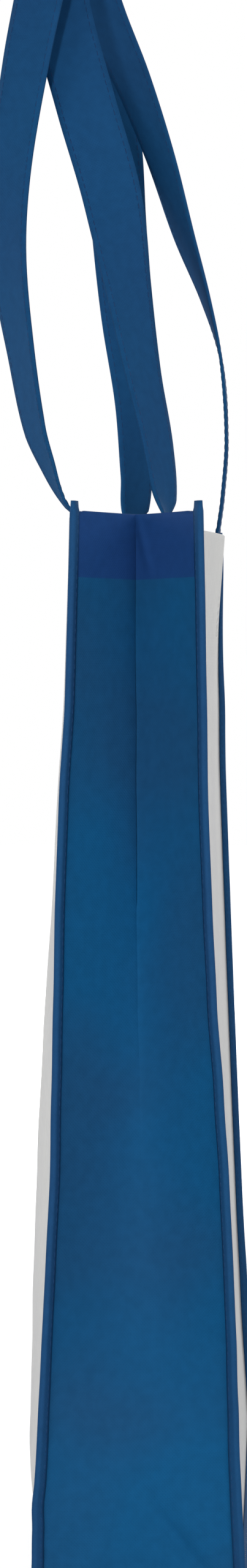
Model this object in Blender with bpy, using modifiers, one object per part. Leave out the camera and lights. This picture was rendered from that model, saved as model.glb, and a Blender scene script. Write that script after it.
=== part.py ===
"""A two-tone non-woven shopping bag with folded side gussets, bound seams and long handles.

Units are metres and +Z is up. X runs across the gusset and Y along the broad panels.
The near end of the bag is at -Y. The bag stands on its bottom, with its mouth open.
"""

import math

import bmesh
import bpy
from mathutils import Vector

# Driving sizes of the bag.
BAG_LENGTH = 0.380
BAG_HEIGHT = 0.420
GUSSET_WIDTH = 0.076
MOUTH_WIDTH = 0.046
CORNER_RADIUS = 0.012

# Cloth, seams and hem.
CLOTH = 0.0006
CLOTH_GAP = 0.0003
HEM_DEPTH = 0.027
HEM_END_MARGIN = 0.008
SEAM_ALLOWANCE = 0.0045
BINDING_START = 0.0010
TAB_LENGTH = 0.004

# Handles.
STRAP_WIDTH = 0.025
STRAP_THICKNESS = 0.0012
STRAP_CLEARANCE = 0.0004
STRAP_SEWN_LENGTH = 0.050
HANDLE_SPACING = 0.160
HANDLE_RISE = 0.280

# How the standing cloth hangs: belly below, and dent, sway and tuck at the mouth.
BACK_BELLY = 0.0175
FRONT_BELLY = -0.0020
BACK_DENT = 0.0013
FRONT_DENT = 0.0047
BACK_SWAY = 0.0096
FRONT_SWAY = 0.0094
BACK_TUCK = 0.0015
FRONT_TUCK = 0.0020
BELLY_RISE = 0.030
FOLD_RISE = 0.100
BOTTOM_FIN_ANGLE = math.radians(38)
CREASE_SHARP = 0.06
CREASE_SOFT = 1.0
ROUND_FOLD_LOSS = 0.16

# Powers that shape how the hang changes with height.
PINCH_SHAPE = 1.25
BELLY_SHAPE = 1.6
MOUTH_SHAPE = 3.5
SWAY_SHAPE = 5
CREASE_SHAPE = 1.2

# Steps of the grids.
CORNER_STEPS = 3
HEIGHT_STEPS = 13
HEIGHT_GRADING = 1.5
LENGTH_STEPS = 16
HEM_STEPS = 2
STRAP_STEPS = 3
ROUTE_STEPS = 3

# Angles of the rows in a hem's fold, and of the points round the edge of a binding tape.
HEM_TURNS = (60, 120)
TAPE_TURNS = (-90, -45, 0, 45, 90)

# A small share used to read the fold's slope at the seam, and a distance that counts as none.
SLOPE_STEP = 0.001
NO_DISTANCE = 1e-6

# Places across the gusset, from its middle crease (0) to its seam (1).
GUSSET_SHARES = (0.14, 0.32, 0.56, 0.80, 1.0)

# Sizes that follow from those above.
PLY_OFFSET = (CLOTH + CLOTH_GAP) / 2
BINDING_OFFSET = PLY_OFFSET + CLOTH + CLOTH_GAP
TURN_CENTRE = SEAM_ALLOWANCE - CLOTH / 2
SEAM_HEIGHT = TURN_CENTRE * math.sin(BOTTOM_FIN_ANGLE) + BINDING_OFFSET + CLOTH / 2
BOTTOM_DROP = SEAM_HEIGHT - PLY_OFFSET - CLOTH / 2
HEM_OFFSET = CLOTH + CLOTH_GAP
STRAP_OFFSET = HEM_OFFSET + CLOTH / 2 + STRAP_CLEARANCE + STRAP_THICKNESS / 2
STRAP_START = BAG_HEIGHT + HEM_OFFSET / 2 + CLOTH / 2 + STRAP_CLEARANCE

# Sides of the bag: the front panel is at +X, the back panel at -X.
FRONT = 1
BACK = -1

# Routes of the handles, from the near root to the far one. Each point is its drift in X from
# the line between the roots, its place along that line (-1 to 1), its height above the hem,
# and the bearing of the strap's outer edge in degrees. Drift and height are shares of the
# handles' rise.
BACK_ROUTE = (
    (-0.021, -0.99, 0.029, -88),
    (-0.045, -0.96, 0.079, -80),
    (-0.067, -0.93, 0.136, -70),
    (-0.090, -0.86, 0.243, -63),
    (-0.114, -0.78, 0.393, -52),
    (-0.115, -0.70, 0.521, -44),
    (-0.095, -0.62, 0.686, -36),
    (-0.074, -0.53, 0.818, -30),
    (-0.064, -0.33, 0.943, -18),
    (-0.061, 0.00, 1.000, 0),
    (-0.056, 0.35, 0.946, 5),
    (-0.045, 0.58, 0.821, 8),
    (-0.025, 0.73, 0.614, 12),
    (-0.017, 0.77, 0.486, 18),
    (-0.010, 0.83, 0.343, 30),
    (0.002, 0.90, 0.207, 44),
    (0.006, 0.965, 0.093, 60),
    (0.003, 0.985, 0.032, 68),
)
FRONT_ROUTE = (
    (-0.001, -0.99, 0.036, -108),
    (-0.014, -0.94, 0.118, -116),
    (-0.040, -0.85, 0.225, -123),
    (-0.067, -0.75, 0.357, -138),
    (-0.094, -0.65, 0.486, -166),
    (-0.136, -0.56, 0.621, -178),
    (-0.182, -0.41, 0.775, -180),
    (-0.196, -0.25, 0.882, -182),
    (-0.196, 0.00, 0.925, -190),
    (-0.179, 0.20, 0.893, -202),
    (-0.146, 0.38, 0.800, -216),
    (-0.112, 0.48, 0.704, -230),
    (-0.075, 0.60, 0.582, -241),
    (-0.042, 0.68, 0.464, -250),
    (-0.010, 0.74, 0.364, -262),
    (0.012, 0.81, 0.268, -270),
    (0.017, 0.90, 0.150, -270),
    (0.008, 0.975, 0.057, -270),
)
NEAR_BEARING = -90
BACK_FAR_BEARING = 90
FRONT_FAR_BEARING = -270

BLUE = "#1B4672"
NAVY = "#1F4873"
GREY = "#CDCDCC"


def clear_scene():
    """Remove what the scene holds."""
    for thing in list(bpy.data.objects):
        bpy.data.objects.remove(thing, do_unlink=True)


def linear_colour(code):
    """The linear colour of an sRGB hex code."""
    channels = [int(code[n:n + 2], 16) / 255 for n in (1, 3, 5)]
    return [c / 12.92 if c <= 0.04045 else ((c + 0.055) / 1.055) ** 2.4 for c in channels]


def cloth_material(name, code, roughness):
    """A plain matt cloth material."""
    material = bpy.data.materials.new(name)
    material.use_nodes = True
    shader = material.node_tree.nodes["Principled BSDF"]
    shader.inputs["Base Color"].default_value = (*linear_colour(code), 1.0)
    shader.inputs["Roughness"].default_value = roughness
    shader.inputs["Metallic"].default_value = 0.0
    return material


def smooth_step(share):
    """A soft rise from 0 to 1."""
    share = min(max(share, 0.0), 1.0)
    return share * share * (3 - 2 * share)


def half_mouth(z):
    """Half the distance between a gusset's two seams: it narrows towards the mouth."""
    up = z / BAG_HEIGHT
    pinch = up * (PINCH_SHAPE - (PINCH_SHAPE - 1) * up)
    return (GUSSET_WIDTH - (GUSSET_WIDTH - MOUTH_WIDTH) * pinch) / 2


def panel_x(side, y, z):
    """The X of a broad panel at a place along the bag and a height."""
    if side == FRONT:
        belly, dent, sway, tuck = FRONT_BELLY, FRONT_DENT, FRONT_SWAY, FRONT_TUCK
    else:
        belly, dent, sway, tuck = BACK_BELLY, BACK_DENT, BACK_SWAY, BACK_TUCK
    up = z / BAG_HEIGHT
    along = y / BAG_LENGTH + 0.5
    mouth = up ** MOUTH_SHAPE
    filled = 1 - math.exp(-(max(z - SEAM_HEIGHT, 0.0) / BELLY_RISE) ** BELLY_SHAPE)
    out = half_mouth(z)
    out += (belly * filled * (1 - mouth) - dent * mouth) * math.sin(math.pi * along)
    out -= tuck * mouth * math.sin(3 * math.pi * along)
    return side * out - sway * up ** SWAY_SHAPE * math.sin(2 * math.pi * along)


def spaced(start, end, parts, grading=1.0):
    """Values from start up to, and without, the end. A grading over 1 crowds them at the start."""
    return [start + (end - start) * (n / parts) ** grading for n in range(parts)]


def grid_lengths():
    """Places of the grid's columns along the bag."""
    near = -BAG_LENGTH / 2
    far = BAG_LENGTH / 2
    return (
        spaced(near, near + CORNER_RADIUS, CORNER_STEPS)
        + spaced(near + CORNER_RADIUS, far - CORNER_RADIUS, LENGTH_STEPS)
        + spaced(far - CORNER_RADIUS, far, CORNER_STEPS)
        + [far]
    )


def grid_heights():
    """Heights of the grid's rows, from the bottom seam to the hem's fold."""
    corner_top = SEAM_HEIGHT + CORNER_RADIUS
    hem_edge = BAG_HEIGHT - HEM_DEPTH
    return (
        spaced(SEAM_HEIGHT, corner_top, CORNER_STEPS)
        + spaced(corner_top, hem_edge, HEIGHT_STEPS, HEIGHT_GRADING)
        + spaced(hem_edge, BAG_HEIGHT, HEM_STEPS)
        + [BAG_HEIGHT]
    )


LENGTHS = grid_lengths()
HEIGHTS = grid_heights()
LAST_COLUMN = len(LENGTHS) - 1
LAST_ROW = len(HEIGHTS) - 1


def flat_point(column, row):
    """A crossing of the flat panel's grid, with the lower corners rounded."""
    y = LENGTHS[column]
    z = HEIGHTS[row]
    straight = BAG_LENGTH / 2 - CORNER_RADIUS
    centre_y = min(max(y, -straight), straight)
    centre_z = max(z, SEAM_HEIGHT + CORNER_RADIUS)
    a = (y - centre_y) / CORNER_RADIUS
    b = (z - centre_z) / CORNER_RADIUS
    y = centre_y + CORNER_RADIUS * a * math.sqrt(1 - b * b / 2)
    z = centre_z + CORNER_RADIUS * b * math.sqrt(1 - a * a / 2)
    return y, z


def seam_path():
    """The seam's flat route: down the near side, along the bottom and up the far side."""
    near = [flat_point(0, row) for row in range(LAST_ROW, 0, -1)]
    bottom = [flat_point(column, 0) for column in range(LAST_COLUMN)]
    far = [flat_point(LAST_COLUMN, row) for row in range(LAST_ROW + 1)]
    return near + bottom + far


PATH = seam_path()
LAST_STATION = len(PATH) - 1


def inward(station):
    """The direction across the seam into the panel, in the plane of the panel."""
    before = Vector(PATH[max(station - 1, 0)])
    after = Vector(PATH[min(station + 1, LAST_STATION)])
    along = (after - before).normalized()
    return Vector((0.0, -along.y, along.x))


def bottom_share(station):
    """How far a station of the seam belongs to the bottom: 1 there and 0 up the sides."""
    return 1 - smooth_step((PATH[station][1] - SEAM_HEIGHT) / CORNER_RADIUS)


def crease_radius(z):
    """How soft the gusset's fold is: sharp at the mouth and round lower down."""
    down = 1 - z / BAG_HEIGHT
    return CREASE_SHARP + (CREASE_SOFT - CREASE_SHARP) * down ** CREASE_SHAPE


def fold_depth(z):
    """How far the gusset's middle lies inside the line of its seams."""
    slack = max((GUSSET_WIDTH / 2) ** 2 - half_mouth(z) ** 2, 0.0)
    rise = smooth_step((z - SEAM_HEIGHT - CORNER_RADIUS) / FOLD_RISE)
    return math.sqrt(slack) * rise * (1 - ROUND_FOLD_LOSS * (1 - z / BAG_HEIGHT))


def fold_profile(share, z):
    """The fold's depth across the gusset, as a share of its depth at the crease."""
    soft = crease_radius(z)
    edge = math.sqrt(1 + soft * soft)
    return (edge - math.sqrt(share * share + soft * soft)) / (edge - soft)


def seam_corner(side, station):
    """The line where a panel and the gusset meet."""
    y, z = PATH[station]
    return Vector((panel_x(side, y, z), y, z))


def seam_frame(side, station):
    """A seam's corner, the way its fin stands out, and the way to the panel's ply of it."""
    y, z = PATH[station]
    corner = seam_corner(side, station)
    along = seam_corner(side, min(station + 1, LAST_STATION))
    along -= seam_corner(side, max(station - 1, 0))
    into = inward(station)
    reach = CLOTH
    panel_way = Vector((0.0, y, z)) + into * reach
    panel_way.x = panel_x(side, panel_way.y, panel_way.z)
    panel_way = (panel_way - corner).normalized()
    slope = fold_profile(1 - SLOPE_STEP, z) / SLOPE_STEP
    gusset_way = Vector((-side * half_mouth(z), 0.0, 0.0)) + into * fold_depth(z) * slope
    gusset_way.normalize()
    out = -(panel_way + gusset_way).normalized()
    resting = Vector((side * math.cos(BOTTOM_FIN_ANGLE), 0.0, 0.0))
    resting -= into * math.sin(BOTTOM_FIN_ANGLE)
    out = out.lerp(resting, bottom_share(station)).normalized()
    across = along.cross(out).normalized()
    if across.dot(panel_way) < across.dot(gusset_way):
        across = -across
    return corner, out, across


FRAMES = {
    side: [seam_frame(side, station) for station in range(LAST_STATION + 1)]
    for side in (FRONT, BACK)
}


def seam_point(side, station, out_by, across_by):
    """A point of the seam's fin, measured from the seam's corner."""
    corner, out, across = FRAMES[side][station]
    return corner + out * out_by + across * across_by


def shifted(row, distance, facing):
    """A row of points moved sideways in plan by a distance, to the side that is faced."""
    moved = []
    for n, point in enumerate(row):
        sides = []
        for first, second in ((n - 1, n), (n, n + 1)):
            if first < 0 or second >= len(row):
                continue
            step = row[second] - row[first]
            normal = Vector((step.y, -step.x, 0.0)).normalized()
            sides.append(normal if normal.dot(facing) > 0 else -normal)
        mitre = (sides[0] + sides[-1]) / (1 + sides[0].dot(sides[-1]))
        moved.append(point + mitre * distance)
    return moved


def hem_rows(outer_rows, facing):
    """The hem's rows: over the fold, and down inside. The outer rows run from the top down."""
    radius = HEM_OFFSET / 2
    rows = []
    for turn in HEM_TURNS:
        angle = math.radians(turn)
        row = shifted(outer_rows[0], radius * (1 - math.cos(angle)), facing)
        rows.append([point + Vector((0.0, 0.0, radius * math.sin(angle))) for point in row])
    for outer in outer_rows:
        rows.append(shifted(outer, HEM_OFFSET, facing))
    return rows


def add_sheet(name, rows, thickness, material, collection):
    """A sheet of cloth through rows of points. A row holds None where there is no cloth."""
    mesh = bpy.data.meshes.new(name)
    columns = len(rows[0]) - 1
    lines = len(rows) - 1
    shape = bmesh.new()
    bmesh.ops.create_grid(shape, x_segments=columns, y_segments=lines, size=1.0)
    outside = []
    for vertex in shape.verts:
        column = round((vertex.co.x + 1) / 2 * columns)
        line = round((vertex.co.y + 1) / 2 * lines)
        place = rows[line][column]
        if place is None:
            outside.append(vertex)
        else:
            vertex.co = place
    bmesh.ops.delete(shape, geom=outside, context="VERTS")
    bmesh.ops.remove_doubles(shape, verts=shape.verts, dist=NO_DISTANCE)
    for face in shape.faces:
        face.smooth = True
    shape.to_mesh(mesh)
    shape.free()
    sheet = bpy.data.objects.new(name, mesh)
    collection.objects.link(sheet)
    mesh.materials.append(material)
    solid = sheet.modifiers.new("Thickness", "SOLIDIFY")
    solid.thickness = thickness
    solid.offset = 0.0
    solid.use_even_offset = True
    solid.use_quality_normals = True
    return sheet


def panel_rows(side):
    """Rows of a broad panel: seam ply below, the wall, and the hem folded to the inside."""

    def wall_point(column, row):
        y, z = flat_point(column, row)
        return Vector((panel_x(side, y, z), y, z))

    def station_at(column, row):
        if column == 0:
            return LAST_ROW - row
        if column == LAST_COLUMN:
            return LAST_ROW + LAST_COLUMN + row
        return LAST_ROW + column

    def ply(column, row, out_by):
        return seam_point(side, station_at(column, row), out_by, PLY_OFFSET)

    rows = []
    columns = range(LAST_COLUMN + 1)
    below = [ply(column, 0, SEAM_ALLOWANCE) for column in columns]
    rows.append([None] + below + [None])
    walls = []
    for row in range(LAST_ROW + 1):
        wall = []
        for column in columns:
            on_seam = row == 0 or column in (0, LAST_COLUMN)
            wall.append(ply(column, row, 0.0) if on_seam else wall_point(column, row))
        walls.append(wall)
        near = ply(0, row, SEAM_ALLOWANCE)
        far = ply(LAST_COLUMN, row, SEAM_ALLOWANCE)
        rows.append([near] + wall + [far])
    hem_start = HEM_END_MARGIN - BAG_LENGTH / 2
    skipped = sum(1 for y in LENGTHS if y < hem_start - NO_DISTANCE)
    outer = [wall[skipped:LAST_COLUMN + 1 - skipped] for wall in reversed(walls[-1 - HEM_STEPS:])]
    for line in hem_rows(outer, Vector((-side, 0.0, 0.0))):
        blank = [None] * (skipped + 1)
        rows.append(blank + line + blank)
    return rows


def gusset_row(station):
    """One row across the gusset, from the back seam to the front one, without its plies."""
    y, z = PATH[station]
    into = inward(station)
    back = seam_point(BACK, station, 0.0, -PLY_OFFSET)
    front = seam_point(FRONT, station, 0.0, -PLY_OFFSET)
    shares = [-share for share in reversed(GUSSET_SHARES)] + [0.0] + list(GUSSET_SHARES)
    drop = BOTTOM_DROP * bottom_share(station)
    level = 1 - GUSSET_SHARES[-2]
    row = []
    for share in shares:
        fold = fold_depth(z) * fold_profile(share, z)
        settle = drop * min((1 - abs(share)) / level, 1.0)
        row.append(back.lerp(front, (share + 1) / 2) + into * (fold - settle))
    return row


def gusset_rows():
    """Rows of the gusset strip: near hem, near side, bottom, far side and far hem."""
    walls = [gusset_row(station) for station in range(LAST_STATION + 1)]
    rows = []
    for station, wall in enumerate(walls):
        back = seam_point(BACK, station, SEAM_ALLOWANCE, -PLY_OFFSET)
        front = seam_point(FRONT, station, SEAM_ALLOWANCE, -PLY_OFFSET)
        rows.append([back] + wall + [front])
    near = [wall[1:-1] for wall in walls[:HEM_STEPS + 1]]
    far = [wall[1:-1] for wall in reversed(walls[-1 - HEM_STEPS:])]
    near_hem = hem_rows(near, Vector((0.0, 1.0, 0.0)))
    far_hem = hem_rows(far, Vector((0.0, -1.0, 0.0)))
    blank = [None, None]
    before = [blank + line + blank for line in reversed(near_hem)]
    after = [blank + line + blank for line in far_hem]
    return before + rows + after


def binding_rows(side):
    """Rows of a binding tape: a channel over both plies, with a tab standing at each end."""
    section = [(BINDING_START, -BINDING_OFFSET)]
    for angle in TAPE_TURNS:
        turn = math.radians(angle)
        out_by = TURN_CENTRE + BINDING_OFFSET * math.cos(turn)
        section.append((out_by, BINDING_OFFSET * math.sin(turn)))
    section.append((BINDING_START, BINDING_OFFSET))
    rows = []
    for station in range(LAST_STATION + 1):
        rows.append([seam_point(side, station, *place) for place in section])
    tab = Vector((0.0, 0.0, TAB_LENGTH))
    rows.insert(0, [point + tab for point in rows[0]])
    rows.append([point + tab for point in rows[-1]])
    return rows


def smooth_route(knots):
    """Rows read from a smooth curve through knots of X, Y, Z and bearing."""
    times = [0.0]
    for first, second in zip(knots, knots[1:]):
        times.append(times[-1] + (second.xyz - first.xyz).length)
    slopes = []
    for n in range(len(knots)):
        before = max(n - 1, 0)
        after = min(n + 1, len(knots) - 1)
        slopes.append((knots[after] - knots[before]) / (times[after] - times[before]))
    places = []
    for n in range(len(knots) - 1):
        span = times[n + 1] - times[n]
        for step in range(ROUTE_STEPS):
            t = step / ROUTE_STEPS
            places.append(
                knots[n] * (2 * t ** 3 - 3 * t ** 2 + 1)
                + slopes[n] * span * (t ** 3 - 2 * t ** 2 + t)
                + knots[n + 1] * (3 * t ** 2 - 2 * t ** 3)
                + slopes[n + 1] * span * (t ** 3 - t ** 2)
            )
    return places + [knots[-1]]


def handle_rows(side, route, far_bearing):
    """Rows of a handle: sewn flat inside its panel at both roots, and free between them."""
    shares = [2 * n / STRAP_STEPS - 1 for n in range(STRAP_STEPS + 1)]

    def root_x(y, z):
        return panel_x(side, y, min(z, BAG_HEIGHT)) - side * STRAP_OFFSET

    def root_row(end, z):
        row = []
        for share in shares:
            y = end * (HANDLE_SPACING + share * STRAP_WIDTH) / 2
            row.append(Vector((root_x(y, z), y, z)))
        return row

    near_x = root_x(-HANDLE_SPACING / 2, BAG_HEIGHT)
    far_x = root_x(HANDLE_SPACING / 2, BAG_HEIGHT)
    knots = [Vector((near_x, -HANDLE_SPACING / 2, STRAP_START, NEAR_BEARING))]
    for drift, along, height, bearing in route:
        x = near_x + (far_x - near_x) * (along + 1) / 2 + drift * HANDLE_RISE
        y = along * HANDLE_SPACING / 2
        z = BAG_HEIGHT + height * HANDLE_RISE
        knots.append(Vector((x, y, z, bearing)))
    knots.append(Vector((far_x, HANDLE_SPACING / 2, STRAP_START, far_bearing)))

    places = smooth_route(knots)
    free = []
    for n in range(1, len(places) - 1):
        along = (places[n + 1].xyz - places[n - 1].xyz).normalized()
        bearing = math.radians(places[n].w)
        edge = Vector((math.cos(bearing), math.sin(bearing), 0.0))
        edge = (edge - along * edge.dot(along)).normalized()
        centre = places[n].xyz
        free.append([centre + edge * share * STRAP_WIDTH / 2 for share in shares])

    foot = BAG_HEIGHT - STRAP_SEWN_LENGTH
    sewn = spaced(foot, BAG_HEIGHT, STRAP_STEPS) + [STRAP_START]
    near = [root_row(-1, z) for z in sewn]
    far = [root_row(1, z) for z in reversed(sewn)]
    return near + free + far


def build_bag():
    """Build the bag's seven pieces."""
    bag = bpy.data.collections.new("non_woven_bag")
    bpy.context.scene.collection.children.link(bag)
    blue = cloth_material("blue_spunbond", BLUE, 0.75)
    navy = cloth_material("navy_binding", NAVY, 0.8)
    grey = cloth_material("grey_spunbond", GREY, 0.75)
    webbing = cloth_material("blue_strap", BLUE, 0.7)
    add_sheet("gusset", gusset_rows(), CLOTH, blue, bag)
    add_sheet("front_panel", panel_rows(FRONT), CLOTH, grey, bag)
    add_sheet("back_panel", panel_rows(BACK), CLOTH, grey, bag)
    add_sheet("front_binding", binding_rows(FRONT), CLOTH, navy, bag)
    add_sheet("back_binding", binding_rows(BACK), CLOTH, navy, bag)
    front = handle_rows(FRONT, FRONT_ROUTE, FRONT_FAR_BEARING)
    back = handle_rows(BACK, BACK_ROUTE, BACK_FAR_BEARING)
    add_sheet("front_handle", front, STRAP_THICKNESS, webbing, bag)
    add_sheet("back_handle", back, STRAP_THICKNESS, webbing, bag)


clear_scene()
build_bag()
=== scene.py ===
import math

import bmesh
import bpy
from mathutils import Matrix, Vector, noise


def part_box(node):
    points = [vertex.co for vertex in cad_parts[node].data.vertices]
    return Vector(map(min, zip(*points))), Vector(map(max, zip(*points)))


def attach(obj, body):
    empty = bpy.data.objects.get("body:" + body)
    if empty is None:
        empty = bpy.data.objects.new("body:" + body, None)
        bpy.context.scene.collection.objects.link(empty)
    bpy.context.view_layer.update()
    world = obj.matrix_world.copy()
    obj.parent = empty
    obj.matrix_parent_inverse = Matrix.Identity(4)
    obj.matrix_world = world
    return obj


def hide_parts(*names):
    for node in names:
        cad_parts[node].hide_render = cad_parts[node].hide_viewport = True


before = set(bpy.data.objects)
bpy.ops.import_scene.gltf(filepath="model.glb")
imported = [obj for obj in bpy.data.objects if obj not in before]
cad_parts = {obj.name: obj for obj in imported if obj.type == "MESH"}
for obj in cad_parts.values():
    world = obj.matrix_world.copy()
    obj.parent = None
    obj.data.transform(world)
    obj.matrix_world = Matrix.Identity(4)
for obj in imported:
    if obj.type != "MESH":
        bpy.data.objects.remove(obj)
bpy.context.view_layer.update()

# Sizes read from the frame.
GUSSET_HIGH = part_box("gusset")[1]
BINDING_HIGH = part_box("front_binding")[1]

# The cut and the cloth, as the bag was sewn.
CLOTH = 0.0006
PLY_GAP = 0.0001
PLY_OFFSET = (CLOTH + PLY_GAP) / 2
TAPE_OFFSET = PLY_OFFSET + CLOTH + PLY_GAP
HEM_OFFSET = 0.0009
BAG_LENGTH = 0.380
BAG_HEIGHT = GUSSET_HIGH[2] - HEM_OFFSET / 2 - CLOTH / 2
GUSSET_WIDTH = 0.076
MOUTH_WIDTH = 0.046
CORNER_RADIUS = 0.012
HEM_DEPTH = 0.025
HEM_END_MARGIN = 0.005
SEAM_ALLOWANCE = 0.0045
TAPE_START = 0.0008
TAB_LENGTH = BINDING_HIGH[2] - BAG_HEIGHT
TURN_CENTRE = SEAM_ALLOWANCE - CLOTH / 2
BOTTOM_FIN_ANGLE = math.radians(38)
SEAM_HEIGHT = TURN_CENTRE * math.sin(BOTTOM_FIN_ANGLE) + TAPE_OFFSET + CLOTH / 2
BOTTOM_DROP = SEAM_HEIGHT - PLY_OFFSET - CLOTH / 2

# Distances that count as none, between points and between heights.
NO_DISTANCE = 1e-6
SAME_HEIGHT = 1e-4

# The handles.
STRAP_WIDTH = 0.025
STRAP_THICKNESS = 0.0012
STRAP_CLEARANCE = 0.0004
STRAP_SEWN_LENGTH = 0.050
HANDLE_SPACING = 0.160
HANDLE_RISE = 0.280
STRAP_OFFSET = HEM_OFFSET + CLOTH / 2 + STRAP_CLEARANCE + STRAP_THICKNESS / 2
STRAP_START = BAG_HEIGHT + HEM_OFFSET / 2 + CLOTH / 2 + STRAP_CLEARANCE
NEAR_BEARING = -90
BACK_FAR_BEARING = 90
FRONT_FAR_BEARING = -270

# How the cloth hangs: belly below, and dent, sway, tuck and sag at the mouth.
BACK_BELLY = 0.0168
FRONT_BELLY = -0.0038
BACK_DENT = 0.0013
FRONT_DENT = 0.0047
BACK_SWAY = 0.0096
FRONT_SWAY = 0.0094
BACK_TUCK = 0.0015
FRONT_TUCK = 0.0020
MOUTH_SAG = 0.0019
CREASE_SAG = 0.0009
CREASE_DRIFT = 0.0016
BELLY_RISE = 0.015
FOLD_RISE = 0.100
CREASE_SHARP = 0.022
CREASE_SOFT = 1.0
ROUND_FOLD_LOSS = 0.16
PINCH_SHAPE = 1.25
BELLY_SHAPE = 1.6
MOUTH_SHAPE = 3.5
SWAY_SHAPE = 5
CREASE_SHAPE = 1.2

# Powers that shape how the shown cloth changes with height and along the bag.
NEAR_LEAN_SHAPE = 2.5
FAR_LEAN_SHAPE = 2
MOUTH_SAG_SHAPE = 6
CREASE_SAG_SHAPE = 8

# Where the gusset's middle drifts sideways: from a height, over a rise.
CREASE_DRIFT_FROM = 0.29
CREASE_DRIFT_RISE = 0.09

# How far the front panel's far seam turns outwards, and the height below which it does.
FIN_TURN = 0.28
FIN_TURN_FROM = 0.335
FIN_TURN_LENGTH = 0.060

# The shown fold: how each face's depth grows towards the crease, how much of that shape it
# takes, and the share of the bag's height where that starts and over which it grows.
LEFT_FACE_SHAPE = 0.86
RIGHT_FACE_SHAPE = 1.22
UNEVEN_SHARE = 0.9
UNEVEN_FROM = 0.25
UNEVEN_RISE = 0.5
SLOPE_STEP = 0.001

# Small waves: length along, length up and depth. A seed picks each sheet's own.
BROAD_WAVES = (0.07, 0.07, 0.0006)
FAINT_WAVES = (0.022, 0.030, 0.00008)
FAINT_SEED_STEP = 7
PANEL_SEED = 3
NEAR_GUSSET_SEED = 11.0
FAR_GUSSET_SEED = 17.0

# The waves' share on the front panel, and how the seams and the stiff hem quieten them.
FRONT_WAVE_SHARE = 0.6
WAVE_MARGIN = 0.004
WAVE_FADE = 0.030
HEM_QUIET = 0.7
HEM_FADE = 0.03
GUSSET_WAVE_FADE = 0.35

# Creases of the near gusset, as start, end, width and height: one in the hem beside the
# fold, a sharp one above the right corner with a dip beside it, and one at the left corner.
GUSSET_CREASES = (
    ((0.0015, 0.419), (0.010, 0.397), 0.0020, -0.0012),
    ((0.006, 0.040), (0.031, 0.008), 0.0026, 0.0022),
    ((0.012, 0.050), (0.033, 0.022), 0.0050, -0.0012),
    ((-0.010, 0.040), (-0.033, 0.012), 0.0045, 0.0005),
)
CREASE_END_FADE = 0.15
CREASE_SEAM_FADE = 0.15

# The binding tapes: how unevenly they are pulled, and how their tabs close above the mouth.
PULL_LENGTH = 0.012
PULL_DEPTH = 0.00012
PULL_SEED = 5.0
TAB_HEIGHTS = (0.35, 1.0)
TAB_CLOSING = 0.2
TAB_CLOSING_RISE = 0.25

# Sides of the bag: the front panel is at +X, the back panel at -X.
FRONT = 1
BACK = -1
UP = Vector((0.0, 0.0, 1.0))

# How far the seams lean out of line, in millimetres, at heights in millimetres.
NEAR_BACK_LEAN = (
    (0, 1.35),
    (16, 1.25),
    (30, 0.8),
    (40, 0.2),
    (50, 0.7),
    (58, 0.78),
    (81, 0.56),
    (106, 0.43),
    (134, 0.6),
    (165, 0.87),
    (198, 0.2),
    (233, -0.35),
    (270, -0.92),
    (309, -0.8),
    (350, 0.3),
    (393, 0.25),
    (420, 0.15),
)
NEAR_FRONT_LEAN = (
    (0, 0.1),
    (39, -0.12),
    (58, -0.02),
    (81, 0.62),
    (106, 1.2),
    (134, 1.26),
    (165, 1.02),
    (198, 0.2),
    (233, -1.1),
    (270, -1.6),
    (309, -1.85),
    (350, -1.25),
    (393, -0.85),
    (420, -0.8),
)
FAR_FRONT_LEAN = (
    (0, -1.5),
    (60, -2.6),
    (106, -2.95),
    (165, -3.1),
    (233, -3.3),
    (309, -3.5),
    (350, -2.8),
    (420, -0.3),
)
FAR_BACK_LEAN = ((0, 0.3), (150, -0.5), (300, 0.6), (420, 0.0))

# How far the back panel's middle swells beyond its plain belly, in the same way.
BACK_SWELL = (
    (0, -0.3),
    (46, -1.0),
    (77, -0.8),
    (109, -0.2),
    (140, 0.35),
    (171, 1.15),
    (203, 0.9),
    (234, 0.35),
    (266, -0.35),
    (330, 0.0),
)

# Routes of the handles: drift, place, height and bearing, within 3 mm of the CAD's.
BACK_ROUTE = (
    (-0.021, -0.99, 0.029, -85),
    (-0.045, -0.96, 0.079, -75),
    (-0.067, -0.93, 0.136, -68),
    (-0.090, -0.86, 0.243, -63),
    (-0.114, -0.78, 0.393, -52),
    (-0.115, -0.70, 0.521, -44),
    (-0.095, -0.62, 0.686, -36),
    (-0.074, -0.53, 0.818, -30),
    (-0.064, -0.33, 0.943, -18),
    (-0.061, 0.00, 1.000, 0),
    (-0.064, 0.35, 0.946, 5),
    (-0.056, 0.58, 0.821, 8),
    (-0.030, 0.73, 0.614, 12),
    (-0.023, 0.77, 0.486, 18),
    (-0.013, 0.83, 0.343, 30),
    (0.000, 0.90, 0.207, 44),
    (-0.003, 0.965, 0.093, 60),
    (-0.006, 0.985, 0.032, 67),
)
FRONT_ROUTE = (
    (-0.001, -0.99, 0.036, -108),
    (-0.014, -0.94, 0.118, -116),
    (-0.040, -0.85, 0.225, -123),
    (-0.067, -0.75, 0.357, -138),
    (-0.094, -0.65, 0.486, -166),
    (-0.136, -0.56, 0.621, -178),
    (-0.182, -0.41, 0.775, -180),
    (-0.196, -0.25, 0.882, -182),
    (-0.196, 0.00, 0.925, -190),
    (-0.184, 0.19, 0.888, -203),
    (-0.156, 0.36, 0.800, -217),
    (-0.116, 0.48, 0.704, -230),
    (-0.075, 0.60, 0.582, -241),
    (-0.042, 0.68, 0.464, -250),
    (-0.010, 0.74, 0.364, -262),
    (0.012, 0.81, 0.268, -270),
    (0.017, 0.90, 0.150, -270),
    (0.008, 0.975, 0.057, -270),
)

# Steps of the dressed cloth, finer than the CAD's.
CORNER_STEPS = 5
HEIGHT_STEPS = 150
LENGTH_STEPS = 96
HEM_STEPS = 12
STRAP_STEPS = 8
ROUTE_STEPS = 8

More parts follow.
